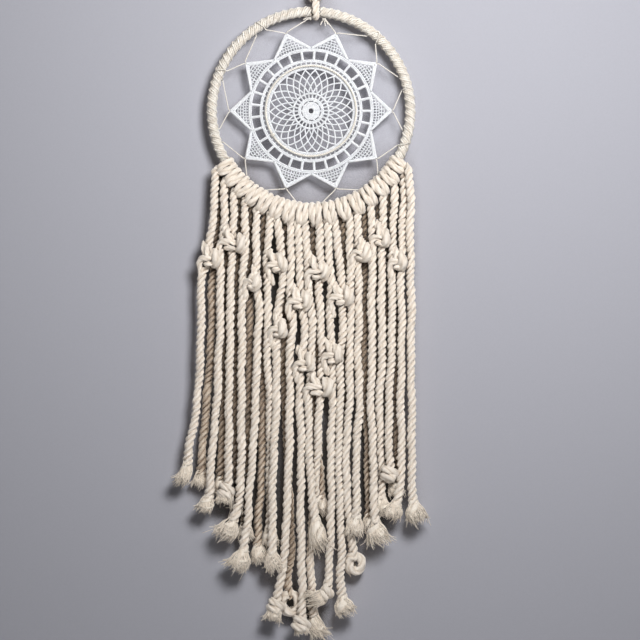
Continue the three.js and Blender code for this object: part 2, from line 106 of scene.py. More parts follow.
# Each strand's route below its knot, left to right: its layer, then points (x, z) from the hoop's
# centre. A point that leaves the layer is (x, y, z).
STRAND_ROUTES = [
    (FRONT, [(-0.0925, -0.092), (-0.0965, -0.124), (-0.0975, -0.14), (-0.104, -0.156),
     (-0.105, -0.19), (-0.1057, -0.229), (-0.1089, -0.277), (-0.1132, -0.305), (-0.117, -0.325),
     (-0.1185, -0.351)]),
    (BACK, [(-0.0885, -0.106), (-0.091, -0.13), (-0.0945, -0.162), (-0.0953, -0.202),
     (-0.0962, -0.229), (-0.1001, -0.277), (-0.1041, -0.324), (-0.1055, -0.348), (-0.1055, -0.36)]),
    (FRONT, [(-0.0825, -0.1), (-0.0845, -0.122), (-0.0866, -0.142), (-0.0866, -0.202),
     (-0.0881, -0.229), (-0.0898, -0.277), (-0.0945, -0.324), (-0.097, -0.363), (-0.1, -0.383)]),
    (BACK, [(-0.078, -0.106), (-0.08, -0.14), (-0.0825, -0.19), (-0.0826, -0.229),
     (-0.0826, -0.277), (-0.0857, -0.324), (-0.0864, -0.353), (-0.0864, -0.366)]),
    (FRONT, [(-0.074, -0.106), (-0.0754, -0.136), (-0.077, -0.171), (-0.0775, -0.229),
     (-0.0786, -0.277), (-0.0786, -0.324), (-0.0797, -0.358), (-0.083, -0.377)]),
    (BACK, [(-0.069, -0.11), (-0.071, -0.15), (-0.072, -0.229), (-0.073, -0.277), (-0.072, -0.324),
     (-0.0705, -0.353), (-0.0715, -0.383)]),
    (FRONT, [(-0.063, -0.11), (-0.0634, -0.141), (-0.0654, -0.162), (-0.0663, -0.229),
     (-0.0666, -0.277), (-0.0666, -0.324), (-0.0673, -0.353), (-0.0701, -0.377), (-0.077, -0.404)]),
    (BACK, [(-0.057, -0.115), (-0.0585, -0.15), (-0.0594, -0.229), (-0.0603, -0.277),
     (-0.0615, -0.324), (-0.0625, -0.372), (-0.064, -0.41)]),
    (FRONT, [(-0.0522, -0.112), (-0.0522, -0.135), (-0.0524, -0.162), (-0.0496, -0.186),
     (-0.0515, -0.229), (-0.0531, -0.277), (-0.0555, -0.324), (-0.0587, -0.363), (-0.0606, -0.391),
     (-0.0634, -0.413), (-0.064, -0.434)]),
    (BACK, [(-0.045, -0.12), (-0.0445, -0.16), (-0.0467, -0.229), (-0.0465, -0.277),
     (-0.0469, -0.324), (-0.0481, -0.363), (-0.051, -0.391), (-0.0505, -0.43)]),
    (FRONT, [(-0.04, -0.118), (-0.0427, -0.15), (-0.0411, -0.181), (-0.0419, -0.229),
     (-0.0396, -0.001, -0.277), (-0.0394, 0.003, -0.324), (-0.0395, BACK, -0.372),
     (-0.0395, BACK, -0.415)]),
    (FRONT, [(-0.0295, -0.125), (-0.0273, -0.15), (-0.0277, -0.169), (-0.0316, -0.192),
     (-0.031, -0.208), (-0.0331, -0.229), (-0.0331, -0.277), (-0.0355, -0.324), (-0.0371, -0.372),
     (-0.0367, -0.401), (-0.0386, -0.436)]),
    (BACK, [(-0.024, -0.13), (-0.023, -0.17), (-0.026, -0.229), (-0.025, -0.277), (-0.0225, -0.324),
     (-0.021, -0.372), (-0.0188, -0.42), (-0.022, -0.444), (-0.0213, -0.48)]),
    (FRONT, [(-0.019, -0.138), (-0.0202, -0.169), (-0.0174, -0.197), (-0.0196, -0.226),
     (-0.0204, -0.253), (-0.0204, -0.277), (-0.0211, -0.324), (-0.0228, -0.372), (-0.0252, -0.42),
     (-0.0285, -0.444), (-0.036, -0.487)]),
    (FRONT, [(-0.0108, -0.143), (-0.0106, -0.167), (-0.0086, -0.184), (-0.0064, -0.203),
     (-0.0066, -0.218), (-0.0084, -0.237), (-0.0108, -0.254), (-0.0108, -0.277), (-0.0092, -0.324),
     (-0.01, -0.372), (-0.0092, -0.42), (-0.0084, -0.468), (-0.01, -0.504)]),
    (FRONT, [(-0.0034, -0.143), (-0.0032, -0.162), (-0.0006, -0.184), (0.001, -0.203),
     (0.0008, -0.228), (0, -0.247), (-0.0018, -0.268), (-0.0018, -0.324), (0.0004, -0.363),
     (0.003, -0.382), (0.007, -0.404)]),
    (BACK, [(0.003, -0.14), (0.004, -0.229), (0.005, -0.277), (0.007, 0.008, -0.324),
     (0.0085, 0.0095, -0.35), (0.009, 0.0095, -0.384)]),
    (FRONT, [(0.0088, -0.137), (0.0076, -0.166), (0.0091, -0.203), (0.0105, -0.229),
     (0.0092, -0.25), (0.008, -0.277), (0.0064, -0.318), (0.0044, 0.0024, -0.35),
     (0.003, BACK, -0.378), (-0.0005, BACK, -0.42), (-0.0005, BACK, -0.444), (0.0016, BACK, -0.468),
     (0.003, BACK, -0.497)]),
    (FRONT, [(0.0173, -0.14), (0.0193, -0.165), (0.0179, -0.203), (0.0202, -0.226),
     (0.0198, -0.242), (0.0208, -0.277), (0.019, -0.324), (0.0195, -0.372), (0.0179, -0.42),
     (0.0169, -0.444), (0.012, -0.474)]),
    (FRONT, [(0.027, -0.14), (0.0291, -0.167), (0.0304, -0.203), (0.0288, -0.226), (0.0274, -0.246),
     (0.028, -0.277), (0.0262, -0.324), (0.0275, -0.372), (0.0291, -0.42), (0.0282, -0.444),
     (0.0305, -0.479)]),
    (BACK, [(0.032, -0.14), (0.034, -0.19), (0.0332, -0.229), (0.033, -0.277), (0.033, -0.324),
     (0.034, 0.007, -0.372), (0.034, 0.007, -0.385)]),
    (FRONT, [(0.0374, -0.14), (0.0382, -0.203), (0.0368, -0.229), (0.037, -0.277), (0.0334, -0.324),
     (0.0346, -0.372), (0.0375, 0, -0.4), (0.0409, 0.003, -0.424), (0.0415, 0.004, -0.443)]),
    (FRONT, [(0.0449, -0.14), (0.0456, -0.203), (0.0445, -0.229), (0.0463, -0.277),
     (0.0434, -0.324), (0.0434, -0.372), (0.0437, -0.402)]),
    (BACK, [(0.051, -0.14), (0.0514, -0.202), (0.0504, -0.229), (0.053, -0.277), (0.0545, -0.324),
     (0.0555, -0.372), (0.057, -0.401)]),
    (FRONT, [(0.0584, -0.13), (0.0578, -0.202), (0.0586, -0.229), (0.0569, -0.277),
     (0.0593, -0.324), (0.06, -0.372), (0.0625, -0.406)]),
    (BACK, [(0.0635, -0.14), (0.0629, -0.229), (0.0625, 0.008, -0.277), (0.0632, 0.009, -0.324),
     (0.064, 0.009, -0.382)]),
    (FRONT, [(0.0678, -0.13), (0.0674, -0.202), (0.0681, -0.229), (0.0654, -0.003, -0.277),
     (0.0664, 0, -0.324), (0.0672, 0.001, -0.353), (0.068, 0.001, -0.384)]),
    (BACK, [(0.0735, -0.14), (0.0724, -0.229), (0.0714, -0.277), (0.072, -0.324),
     (0.0725, -0.353)]),
    (FRONT, [(0.0776, -0.13), (0.0772, -0.202), (0.0769, -0.229), (0.0745, -0.277),
     (0.0745, -0.324), (0.0755, -0.361)]),
    (BACK, [(0.083, -0.11), (0.0825, -0.16), (0.082, -0.229), (0.081, -0.277), (0.0805, -0.324),
     (0.0805, -0.367)]),
    (FRONT, [(0.0878, -0.002, -0.1), (0.087, -0.0034, -0.125), (0.0858, -0.162), (0.0865, -0.202),
     (0.0865, -0.229), (0.0856, -0.277), (0.0865, -0.324), (0.0858, -0.353), (0.0822, -0.372),
     (0.0806, -0.389)]),
    (FRONT, [(0.095, -0.0068, -0.08), (0.0946, -0.005, -0.109), (0.095, -0.15), (0.0961, -0.202),
     (0.0952, -0.229), (0.0961, -0.277), (0.0961, -0.324), (0.0964, -0.353), (0.0986, -0.388)]),
]

# The three strands furthest right leave their knots one in front of the other.
EXIT_DEPTHS = {29: 0.006, 30: -0.0004, 31: -0.0072}
EXIT_DEPTH = 0.0034

CAMERA_DISTANCE = 2.5
VIEW_WIDTH = 0.6124
VIEW_CENTRE = (0.0041, -0.36)
SENSOR_WIDTH = 36

rng = np.random.default_rng(11)

# ---- camera


def add_camera():
    data = bpy.data.cameras.new("camera")
    data.sensor_width = SENSOR_WIDTH
    data.lens = SENSOR_WIDTH * CAMERA_DISTANCE / VIEW_WIDTH
    camera = bpy.data.objects.new("camera", data)
    camera.location = (VIEW_CENTRE[0], -CAMERA_DISTANCE, VIEW_CENTRE[1])
    camera.rotation_euler = (math.radians(90), 0, 0)
    bpy.context.scene.collection.objects.link(camera)
    bpy.context.scene.camera = camera


add_camera()

# ---- lines


def hoop_point(radius, degrees, y=0.0):
    """A point by radius and angle round the hoop's centre."""
    angle = math.radians(degrees)
    return HOOP_CENTRE + np.array([radius * math.cos(angle), y, radius * math.sin(angle)])


def distances(line):
    """How far along the line each of its points lies."""
    return np.concatenate([[0], np.cumsum(np.linalg.norm(np.diff(line, axis=0), axis=1))])


def even_line(dense, step):
    """The same line with evenly spaced points."""
    along = distances(dense)
    count = max(round(along[-1] / step), 2)
    wanted = np.linspace(0, along[-1], count + 1)
    return np.stack([np.interp(wanted, along, dense[:, k]) for k in range(3)], axis=1)


def smooth_line(points, step):
    """Evenly spaced points on a centripetal Catmull-Rom curve through the given ones."""
    points = np.array(points, float)
    before, after = 2 * points[0] - points[1], 2 * points[-1] - points[-2]
    points = np.vstack([before, points, after])
    parts = []
    for p0, p1, p2, p3 in zip(points, points[1:], points[2:], points[3:]):
        t1 = math.sqrt(np.linalg.norm(p1 - p0))
        t2 = t1 + math.sqrt(np.linalg.norm(p2 - p1))
        t3 = t2 + math.sqrt(np.linalg.norm(p3 - p2))
        t = np.linspace(t1, t2, 16, endpoint=False)[:, None]
        a1 = (t1 - t) / t1 * p0 + t / t1 * p1
        a2 = (t2 - t) / (t2 - t1) * p1 + (t - t1) / (t2 - t1) * p2
        a3 = (t3 - t) / (t3 - t2) * p2 + (t - t2) / (t3 - t2) * p3
        b1 = (t2 - t) / t2 * a1 + t / t2 * a2
        b2 = (t3 - t) / (t3 - t1) * a2 + (t - t1) / (t3 - t1) * a3
        parts.append((t2 - t) / (t2 - t1) * b1 + (t - t1) / (t2 - t1) * b2)
    return even_line(np.vstack([*parts, points[-2:-1]]), step)


def length_of(line):
    return float(np.linalg.norm(np.diff(line, axis=0), axis=1).sum())


def arc(radius, from_degrees, to_degrees, step, y=0.0):
    """Points along an arc round the hoop's centre."""
    length = radius * math.radians(abs(to_degrees - from_degrees))
    count = max(round(length / step), 2)
    return np.array([hoop_point(radius, a, y) for a in np.linspace(from_degrees, to_degrees, count + 1)])


def cross_directions(line):
    """Unit directions along and across the line, turning as little as possible."""
    along = np.gradient(line, axis=0)
    along /= np.linalg.norm(along, axis=1)[:, None]
    guess = np.array([0.0, 1.0, 0.0]) if abs(along[0][1]) < 0.9 else np.array([1.0, 0.0, 0.0])
    across = np.empty_like(line)
    for i, direction in enumerate(along):
        guess = guess - direction * guess.dot(direction)
        guess /= np.linalg.norm(guess)
        across[i] = guess
    return along, across, np.cross(along, across)


# ---- tubes


def uneven(count, share):
    """Widths that vary smoothly by about the given share."""
    knots = rng.normal(1, share, max(count // 9, 3))
    return np.interp(np.linspace(0, len(knots) - 1, count), np.arange(len(knots)), knots)


def tapered(count, rings):
    """Widths that narrow over a tube's first and last few rings."""
    from_end = np.minimum(np.arange(count), np.arange(count)[::-1])
    return np.interp(from_end, [0, rings], [0.45, 1])


def swelling(rings, sides, share):
    """Soft dents and bulges over a tube's surface."""
    field = rng.normal(0, 1, (rings + 4, sides))
    field = sum(field[k:k + rings] for k in range(5)) / 5 ** 0.5
    field = (field + np.roll(field, 1, axis=1) + np.roll(field, -1, axis=1)) / 3 ** 0.5
    return 1 + share * field


def outline(plies, points_per_ply, groove_depth):
    """A cord's section: angle, radius and depth in the groove, with one round lobe for each ply."""
    half = math.pi / plies
    angle = 2 * half * np.arange(plies * points_per_ply) / points_per_ply
    off_crest = np.abs((angle + half) % (2 * half) - half)
    fall = 1 - np.cos(np.minimum(off_crest, math.radians(62)))
    return angle, 1 - groove_depth * 2 * fall, (off_crest / half) ** 3


THREE_PLY = outline(3, 10, 0.48)
SOFT_THREE_PLY = outline(3, 10, 0.26)
TWO_PLY = outline(2, 5, 0.4)
ROUND = outline(1, 6, 0)
FINE = outline(1, 4, 0)


class Tubes:
    """Collects tubes and makes one mesh of them.

    Each point keeps how deep it lies in a groove, which the materials use for painted shade,
    and its place in the cord's own straightened-out space, which the materials use for the run
    of the fibres.
    """

    def __init__(self):
        self.points, self.quads, self.caps = [], [], []
        self.groove, self.fibre = [], []
        self.count = 0

    def add(self, line, radius, section=ROUND, lay=None, phase=0.0, widths=None, rough=0.0):
        """A tube along a line. lay is the length of one full twist; widths scales the radius.

        rough is how far the plies swell, shrink and wander, as a share of the radius.
        """
        line = np.asarray(line, float)
        angle, reach, depth = section
        rings, sides = len(line), len(angle)
        along = distances(line)
        twist = phase + (2 * math.pi * along / lay if lay else np.zeros(rings))
        if rough:
            twist = twist + 4 * (uneven(rings, rough) - 1)
        turned = angle[None, :] + twist[:, None]
        size = radius * (np.ones(rings) if widths is None else widths)[:, None] * reach[None, :]
        if rough:
            size = size * swelling(rings, sides, rough)
        _, across, up = cross_directions(line)
        u, v = size * np.cos(turned), size * np.sin(turned)
        ring = line[:, None, :] + u[..., None] * across[:, None, :] + v[..., None] * up[:, None, :]
        self.points.append(ring.reshape(-1, 3))
        self.points.append(line[[0, -1]])
        self.groove.append(np.concatenate([np.tile(depth, rings), [0, 0]]))
        offset = rng.random() * 3
        place = np.stack([u, v, np.broadcast_to(along[:, None] + offset, u.shape)], axis=2)
        ends = np.array([[0, 0, offset], [0, 0, offset + along[-1]]])
        self.fibre.append(np.vstack([place.reshape(-1, 3), ends]))

        first = self.count
        j = np.arange(sides)
        k = (j + 1) % sides
        start = first + sides * np.arange(rings - 1)[:, None]
        quads = np.stack([start + j, start + sides + j, start + sides + k, start + k], axis=2)
        self.quads.append(quads.reshape(-1, 4))
        last = first + sides * (rings - 1)
        middle = first + sides * rings
        self.caps.append(np.stack([np.full(sides, middle), first + j, first + k], axis=1))
        self.caps.append(np.stack([np.full(sides, middle + 1), last + k, last + j], axis=1))
        self.count += sides * rings + 2

    def make(self, name, material, slot):
        mesh = bpy.data.meshes.new(name)
        faces = np.vstack(self.quads).tolist() + np.vstack(self.caps).tolist()
        mesh.from_pydata(np.vstack(self.points).tolist(), [], faces)
        groove = mesh.attributes.new("groove", "FLOAT", "POINT")
        groove.data.foreach_set("value", np.concatenate(self.groove).astype(np.float32))
        fibre = mesh.attributes.new("fibre", "FLOAT_VECTOR", "POINT")
        fibre.data.foreach_set("vector", np.vstack(self.fibre).astype(np.float32).ravel())
        mesh.polygons.foreach_set("use_smooth", np.ones(len(mesh.polygons), bool))
        mesh.materials.append(material)
        obj = bpy.data.objects.new(name, mesh)
        bpy.context.scene.collection.objects.link(obj)
        return obj


# ---- materials


OPENNESS_SAMPLES = 8
HOLLOW_SHADE_SHARE = 0.07  # how much of the painted shade colour is left in the deepest painted shade of a hollow
HOLLOW_SHADE_WARMTH = 0.8  # how far the painted shade of a hollow takes the painted groove shade's hue


class Nodes:
    """A material's node tree, with its Principled shader."""

    def __init__(self, name):
        self.material = bpy.data.materials.new(name)
        self.material.use_nodes = True
        self.tree = self.material.node_tree
        self.shader = self.tree.nodes["Principled BSDF"]

    def feed(self, socket, value):
        """Links another node's output to a socket, or sets the socket's own value."""
        if isinstance(value, bpy.types.NodeSocket):
            self.tree.links.new(value, socket)
        else:
            socket.default_value = value

    def add(self, kind, **inputs):
        node = self.tree.nodes.new(kind)
        for key, value in inputs.items():
            self.feed(node.inputs[key.replace("_", " ")], value)
        return node

    def attribute(self, name):
        node = self.tree.nodes.new("ShaderNodeAttribute")
        node.attribute_name = name
        return node

    def math(self, operation, *values):
        node = self.tree.nodes.new("ShaderNodeMath")
        node.operation = operation
        for socket, value in zip(node.inputs, values):
            self.feed(socket, value)
        return node.outputs[0]

    def mix(self, factor, a, b, blend_type="MIX"):
        node = self.tree.nodes.new("ShaderNodeMix")
        node.data_type = "RGBA"
        node.blend_type = blend_type
        for index, value in ((0, factor), (6, a), (7, b)):
            self.feed(node.inputs[index], value)
        return node.outputs[2]

    def noise(self, vector, scale, detail=2.0):
        return self.add("ShaderNodeTexNoise", Vector=vector, Scale=scale, Detail=detail).outputs[0]

    def stretched(self, vector, factors):
        node = self.add("ShaderNodeMapping", Vector=vector)
        node.inputs["Scale"].default_value = factors
        return node.outputs[0]

    def open_share(self, reach, closed, clear, inside=False):
        """How open the surface is to what lies within reach: 0 where closed, and 1 where clear."""
        openness = self.add("ShaderNodeAmbientOcclusion", Distance=reach)
        openness.samples = OPENNESS_SAMPLES
        openness.inside = inside
        share = self.add("ShaderNodeMapRange", Value=openness.outputs["AO"],
                         From_Min=closed, From_Max=clear)
        share.interpolation_type = "SMOOTHSTEP"
        return share.outputs[0]

    def painted_hollow_shade(self, colour, dark, closed, clear, reach=0.012):
        """Painted shade: the colour, warmer and darker where neighbours within reach close a place in."""
        share = self.open_share(reach, closed, clear)
        tint = tuple((c / max(dark[:3])) ** HOLLOW_SHADE_WARMTH for c in dark[:3]) + (1,)
        colour = self.mix(share, self.mix(1.0, colour, tint, "MULTIPLY"), colour)
        deep = tuple(HOLLOW_SHADE_SHARE * c for c in dark[:3]) + (1,)
        return self.mix(share, deep, colour)

    def link(self, output, socket):
        self.tree.links.new(output, self.shader.inputs[socket])


def cotton(name, crest, groove_shade_colour, fibre_scale=1400.0, bump=0.5, sheen=0.35, clear=0.48):
    """Twisted cotton: pale on the plies' crests, with painted shade between them and where neighbours
    close it in, and fine fibres along it.
    """
    nodes = Nodes(name)
    fibre = nodes.attribute("fibre").outputs["Vector"]
    groove = nodes.attribute("groove").outputs["Fac"]
    place = nodes.add("ShaderNodeTexCoord").outputs["Object"]
    fibres = nodes.noise(nodes.stretched(fibre, (1, 1, 0.12)), fibre_scale, 3.0)
    blotches = nodes.noise(place, 45.0)
    specks = nodes.noise(fibre, 420.0, 3.0)
    yarns = nodes.noise(nodes.stretched(fibre, (1, 1, 0.25)), 0.42 * fibre_scale, 2.0)
    lined = nodes.math("MULTIPLY_ADD", yarns, 3.2, -1.25)
    lined.node.use_clamp = True
    # Painted shade in the grooves between the plies.
    shaded = nodes.math("MULTIPLY", groove, specks)
    colour = nodes.mix(shaded, crest, groove_shade_colour)
    pale = tuple(min(1.0, c * 1.06) for c in crest[:3]) + (1,)
    warm = (crest[0] * 0.93, crest[1] * 0.88, crest[2] * 0.8, 1)
    tint = nodes.mix(blotches, warm, pale)
    colour = nodes.mix(0.45, colour, tint)
    # More painted shade, spread evenly over each groove.
    colour = nodes.mix(nodes.math("MULTIPLY", groove, 0.22), colour, groove_shade_colour)
    streak = nodes.mix(nodes.math("MULTIPLY", fibres, 0.22), colour, warm)
    streak = nodes.mix(nodes.math("MULTIPLY", lined, 0.28), streak, groove_shade_colour)
    # Painted shade, warmer and darker, where neighbouring plies and strands close the cotton in.
    nodes.link(nodes.painted_hollow_shade(streak, groove_shade_colour, 0.2 * clear, clear), "Base Color")
    height = nodes.math("SUBTRACT", fibres, nodes.math("MULTIPLY", lined, 0.6))
    nodes.link(nodes.math("MULTIPLY_ADD", fibres, 0.12, 0.84), "Roughness")
    normal = nodes.add("ShaderNodeBump", Strength=bump, Distance=0.0009, Height=height)
    nodes.link(normal.outputs[0], "Normal")
    nodes.shader.inputs["Sheen Weight"].default_value = sheen
    nodes.shader.inputs["Sheen Roughness"].default_value = 0.5
    nodes.shader.inputs["Specular IOR Level"].default_value = 0.25
    return nodes.material


def wire_metal():
    nodes = Nodes("plated wire")
    place = nodes.add("ShaderNodeTexCoord").outputs["Object"]
    scratches = nodes.noise(place, 900.0, 4.0)
    colour = nodes.mix(scratches, (0.42, 0.41, 0.39, 1), (0.62, 0.61, 0.59, 1))
    nodes.link(colour, "Base Color")
    nodes.link(nodes.math("MULTIPLY_ADD", scratches, 0.3, 0.25), "Roughness")
    nodes.shader.inputs["Metallic"].default_value = 1.0
    return nodes.material


# Each cotton's colour on its crests, then its painted shade colour for its grooves and the hollow places
# that neighbours close in.
CREAM = (0.875, 0.808, 0.733, 1), (0.42, 0.31, 0.21, 1)
WRAP_CREAM = (0.84, 0.81, 0.76, 1), (0.45, 0.35, 0.25, 1)
# The back layer's cotton: the front's cream painted darker and warmer, as painted shade from the strands
# in front.
BACK_PAINTED_SHADE_CREAM = (0.71, 0.635, 0.545, 1), (0.36, 0.25, 0.16, 1)
YARN_CREAM = (0.9, 0.84, 0.76, 1), (0.62, 0.49, 0.36, 1)
WHITE = (0.83, 0.85, 0.89, 1), (0.55, 0.57, 0.62, 1)
STRING_CREAM = (0.86, 0.83, 0.78, 1), (0.6, 0.54, 0.46, 1)
FINE_FIBRES = 2600.0

cord_cotton = cotton("twisted cotton cord", *CREAM)
wrap_cotton = cotton("wound cotton cord", *WRAP_CREAM)
# The back layer's cord, with painted shade all over and painted shade in more of its hollow places.
back_painted_shade_cotton = cotton("shaded cotton cord", *BACK_PAINTED_SHADE_CREAM, clear=0.85)
fray_cotton = cotton("frayed cotton yarn", *YARN_CREAM, bump=0.3, clear=0.3)
doily_thread = cotton("white crochet thread", *WHITE, FINE_FIBRES, 0.35)
string_cotton = cotton("fine cream string", *STRING_CREAM, FINE_FIBRES, 0.35)
plated_wire = wire_metal()

# ---- fringe strands


def knot_angle(index):
    wide = max(index - NARROW_KNOTS, 0)
    return FIRST_KNOT_ANGLE + min(index, NARROW_KNOTS) * NARROW_PITCH + wide * WIDE_PITCH


def strand_name(index):
    return f"fringe_strand_{index // 2 + 1:02d}_{'right' if index % 2 else 'left'}"


def route_point(layer, point):
    """A route's point, in its strand's layer unless it has a depth of its own."""
    x, *depth, z = point
    return HOOP_CENTRE + (x, depth[0] if depth else layer, z)


def strand_line(index):
    """A strand's centreline, from its knot to the end of its loose yarns, and its exit point."""
    angle = knot_angle(index // 2) + (EXIT_SPREAD if index % 2 else -EXIT_SPREAD)
    layer, points = STRAND_ROUTES[index]
    route = [route_point(layer, point) for point in points]
    depth = EXIT_DEPTHS.get(index, math.copysign(EXIT_DEPTH, layer))
    exit_point = hoop_point(EXIT_RADIUS, angle, depth)
    lead = hoop_point(EXIT_RADIUS + LEAD_LENGTH, angle, depth)
    return smooth_line([exit_point, lead, *route], STRAND_STEP), exit_point


def wobble(line, size, wavelength):
    """Small slow sideways drift, fading in from the line's start."""
    along = distances(line)
    fade = np.clip(along / DRIFT_FADE, 0, 1)
    moved = line.copy()
    for axis in (0, 1):
        phase, stretch = rng.random() * 2 * math.pi, 0.8 + 0.5 * rng.random()
        moved[:, axis] += size * fade * np.sin(2 * math.pi * along / (wavelength * stretch) + phase)
    return moved


strands = []
for index in range(2 * KNOT_COUNT):
    line, exit_point = strand_line(index)
    line = wobble(line, DRIFT, DRIFT_WAVELENGTH)
    plain = line[: -round(FRAY_LENGTH / STRAND_STEP)]
    tubes = Tubes()
    to_end = np.arange(len(plain))[::-1] * STRAND_STEP
    opened = np.interp(to_end, [0, OPENING_LENGTH], [END_SWELLING, 1])
    tubes.add(plain, CORD_RADIUS, THREE_PLY, CORD_LAY * rng.uniform(0.92, 1.1), rng.random() * 6,
              opened * uneven(len(plain), 0.03), PLY_SWELLING)
    name = strand_name(index)
    # Back-layer strands take the cord with painted shade.
    cotton_of_layer = back_painted_shade_cotton if STRAND_ROUTES[index][0] == BACK else cord_cotton
    strand = tubes.make(f"strand_{index + 1:02d}", cotton_of_layer, "cotton_cord")
    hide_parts(name)
    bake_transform(strand)
    strands.append((strand, exit_point, plain))

# ---- fringe ends

YARN_RADIUS = 0.00042
YARN_POINTS = 8
TURN_POINTS = 26  # points along one turn of a knot or loop
TAIL_LEAN = 20  # how much more a loop's loose yarns lean than the loop


def tilted(degrees, length=1.0):
    """Down, leaning right by the given angle."""
    angle = math.radians(degrees)
    return np.array([length * math.sin(angle), 0.0, -length * math.cos(angle)])


def tuft(tubes, base, lean, flare, length, close=0.85, count=190):
    """A cut end: the strand opens into a dense bundle of yarns with bristly tips."""
    side = np.cross(tilted(lean), [0, 1, 0])
    depth = np.array([0, 0.8, 0])
    knee = [0, 0.18, 0.5, 0.8, 1, 1.25]
    girth = [1.0, END_SWELLING, 0.15 + 0.85 * flare, flare, 0.5 * (1 + close) * flare, close * flare]

    def middle(u):
        return base + length * u * ((1 - u) * tilted(0) + u * tilted(lean))

    u = np.linspace(0, 1, 14)
    core_girth = 0.8 * np.interp(u, knee, girth) * np.interp(u, [0, 0.8, 1], [1.1, 0.95, 0.4])
    core = np.array([middle(x) for x in u * 0.96])
    tubes.add(core, CORD_RADIUS, SOFT_THREE_PLY, 0.04, rng.random() * 6, core_girth, 0.12)
    for _ in range(count):
        start = rng.random() * 2 * math.pi
        shell = rng.uniform(0.74, 1.04)
        swirl = rng.normal(0.9, 0.5)
        stray = rng.normal(0, 0.75, 3) * (1, 0.6, 0.8) * length
        line = []
        for x in np.linspace(rng.uniform(0.0, 0.6), rng.uniform(0.84, 1.12), YARN_POINTS):
            spin = start + swirl * x
            reach = CORD_RADIUS * 0.93 * np.interp(x, knee, girth) * shell
            line.append(middle(x) + reach * (math.cos(spin) * side + math.sin(spin) * depth)
                        + stray * max(x - 0.6, 0) ** 2)
        tubes.add(np.array(line), YARN_RADIUS * rng.uniform(0.8, 1.3), FINE,
                  widths=np.linspace(1.1, 0.55, YARN_POINTS))


def drawn_cord(tubes, line, radius, lay, share):
    """A cord in a knot or loop: its plies are drawn together, and its width varies by the share."""
    tubes.add(line, radius, SOFT_THREE_PLY, lay, rng.random() * 6, uneven(len(line), share), PLY_SWELLING)


def end_knot(tubes, centre, lean, radius, turns):
    """An overhand knot's outer turn: the cord wound once or so round the strand."""
    count = round(turns * TURN_POINTS)
    spin = np.linspace(0, turns * 2 * math.pi, count) + 0.6
    axis = -tilted(lean)
    side = np.cross(axis, [0, 1, 0])
    rise = np.linspace(0.45, -0.45, count) * CORD_RADIUS * 2.3
    tip = 0.35 * radius * np.sin(spin + 0.9)
    line = (centre + radius * np.cos(spin)[:, None] * side
            + radius * 0.8 * np.sin(spin)[:, None] * np.array([0, -1, 0])
            + (rise + tip)[:, None] * axis)
    drawn_cord(tubes, line, CORD_RADIUS * 0.92, KNOT_LAY, 0.04)
    u = np.linspace(-1, 1, 12)
    heart = centre + axis * radius * 1.25 * u[:, None]
    tubes.add(heart, 1.15 * radius, SOFT_THREE_PLY, 0.05, 1.0, np.sqrt(1.05 - u * u), PLY_SWELLING)


# How each strand ends: the lean of its bundle of loose yarns in degrees, how far it flares, its
# length, the radius of the knot above it (0 for no knot) and, on some, how wide its tips stay.
END_STYLES = {
    0: (-20, 1.6, 0.02, 0),
    1: (-14, 1.55, 0.014, 0),
    2: (-24, 1.8, 0.015, 0),
    4: (-8, 2.1, 0.013, 0.0056),
    6: (-36, 2.6, 0.02, 0),
    8: (-26, 2.6, 0.02, 0, 1.0),
    9: (10, 2.1, 0.017, 0),
    11: (12, 2.3, 0.018, 0),
    13: (-14, 1.9, 0.015, 0.0056),
    14: (6, 1.7, 0.011, 0.0062),
    15: (8, 2.2, 0.028, 0, 1.0),
    17: (18, 2.0, 0.022, 0),
    18: (-60, 2.0, 0.017, 0.0044),
    19: (14, 2.4, 0.017, 0),
    22: (-10, 2.1, 0.019, 0),
    24: (10, 2.7, 0.022, 0, 1.0),
    28: (18, 1.0, 0.005, 0.0064),
    30: (-26, 2.3, 0.016, 0),
    31: (14, 2.5, 0.02, 0),
}
PLAIN_END = (4, 1.9, 0.016, 0)
# Strands whose cord turns back on itself in a loop: the loop's radius, its lean and its turns.
LOOPED_ENDS = {
    12: dict(radius=0.0066, lean=10, turns=1.6),
    21: dict(radius=0.0054, lean=8, turns=1.2),
}


def looped_end(tubes, base, radius, lean, turns):
    """The cord turned back on itself in a flat loop below the strand."""
    count = round(turns * TURN_POINTS)
    spin = np.linspace(0, turns * 2 * math.pi, count) + math.pi / 2
    down = tilted(lean)
    side = np.cross(down, [0, 1, 0])
    middle = base + down * radius * 1.15
    line = (middle - down * radius * 1.35 * np.sin(spin)[:, None]
            + side * radius * 1.15 * np.cos(spin)[:, None])
    line[:, 1] = np.linspace(-0.004, 0.004, count) + base[1]
    drawn_cord(tubes, line, CORD_RADIUS * 1.12, KNOT_LAY, 0.05)
    return line[-1]


for index, (strand, exit_point, plain) in enumerate(strands):
    end = plain[-1]
    number = f"{index + 1:02d}"
    knot, fray = Tubes(), Tubes()
    if index in LOOPED_ENDS:
        loop = LOOPED_ENDS[index]
        tail = looped_end(knot, end + (0, 0, 0.004), **loop)
        tuft(fray, tail, loop["lean"] + TAIL_LEAN, 1.5, 0.01, count=90)
    else:
        lean, flare, length, radius, *close = END_STYLES.get(index, PLAIN_END)
        if radius:
            end_knot(knot, end + (0, 0, 0.001), 0.3 * lean, radius, 1.25)
        tuft(fray, end + (0, 0, 0.004), lean, flare, length, *close)
    pieces = [fray.make(f"fray_{number}", fray_cotton, "cotton_cord")]
    if knot.count:
        pieces.append(knot.make(f"end_knot_{number}", cord_cotton, "cotton_cord"))
    for piece in pieces:
        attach(piece, "fringe")

# ---- knots between the strands

